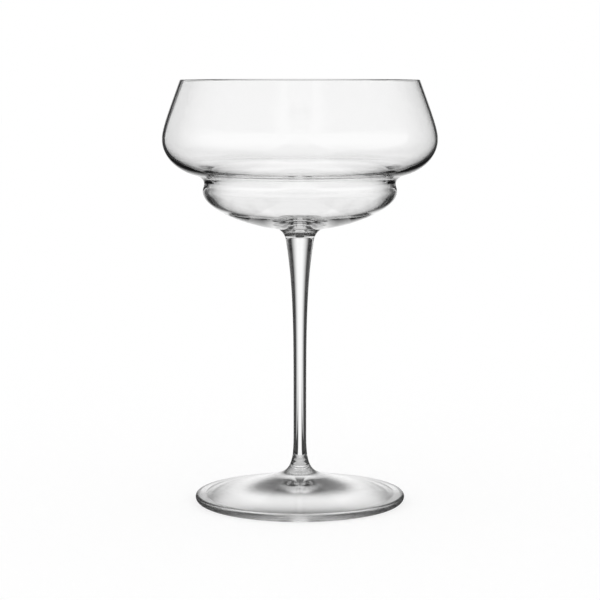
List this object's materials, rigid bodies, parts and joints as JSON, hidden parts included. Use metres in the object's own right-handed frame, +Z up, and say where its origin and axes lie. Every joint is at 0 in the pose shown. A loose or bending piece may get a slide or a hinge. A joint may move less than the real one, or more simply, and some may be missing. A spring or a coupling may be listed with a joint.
{
  "type": "coupe glass",
  "caption": "Clear coupe glass with a wide upper tier over a narrower lower cup, on a slim drawn stem and a broad foot; holds a drink.",
  "frame": {"origin": "on the axis, at the surface that the foot rests on", "axes": "+Z up along the axis, from the foot to the rim; the glass is round, so X and Y are free"},
  "size_m": [0.1046, 0.1046, 0.162],
  "materials": {
    "clear_glass": "clear, fire polished"
  },
  "bodies": {
    "root": {"bowl": "clear_glass", "stem": "clear_glass", "foot": "clear_glass"}
  },
  "joints": []
}
